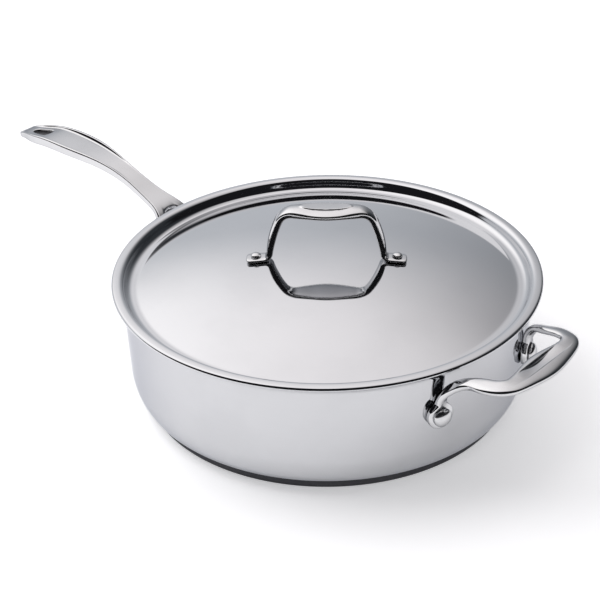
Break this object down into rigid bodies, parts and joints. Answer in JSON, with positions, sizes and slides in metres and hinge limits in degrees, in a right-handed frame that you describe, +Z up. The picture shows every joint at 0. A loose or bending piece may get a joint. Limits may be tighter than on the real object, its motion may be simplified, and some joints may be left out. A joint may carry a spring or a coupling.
{
  "type": "saute pan with lid",
  "caption": "Deep polished steel saute pan with an encapsulated base, a long cast handle that forks to its rivets, a helper loop handle and a stepped lift-off lid with a strap handle",
  "frame": {"origin": "the centre of the base's lower face, on the hob", "axes": "+Z up, +X towards the helper handle, -X towards the long handle"},
  "size_m": [0.5101, 0.2998, 0.141],
  "materials": {
    "polished_steel": "polished",
    "cast_steel": "polished",
    "rivet_steel": "polished",
    "dark_base": "satin",
    "aluminium_core": "satin"
  },
  "bodies": {
    "pan": {"pan_body": "polished_steel", "base_core": "aluminium_core", "base_cap": "dark_base", "long_handle": "cast_steel", "long_handle_rivet_left": "rivet_steel", "long_handle_rivet_right": "rivet_steel", "helper_handle": "cast_steel", "helper_handle_rivet_near": "rivet_steel", "helper_handle_rivet_far": "rivet_steel"},
    "lid": {"lid_shell": "polished_steel", "lid_handle": "cast_steel", "lid_rivet_left": "rivet_steel", "lid_rivet_right": "rivet_steel"}
  },
  "joints": [
    {"name": "lid_lift", "type": "slide", "parent": "pan", "child": "lid", "axis": [0, 0, 1], "range_m": [0, 0.2]}
  ]
}
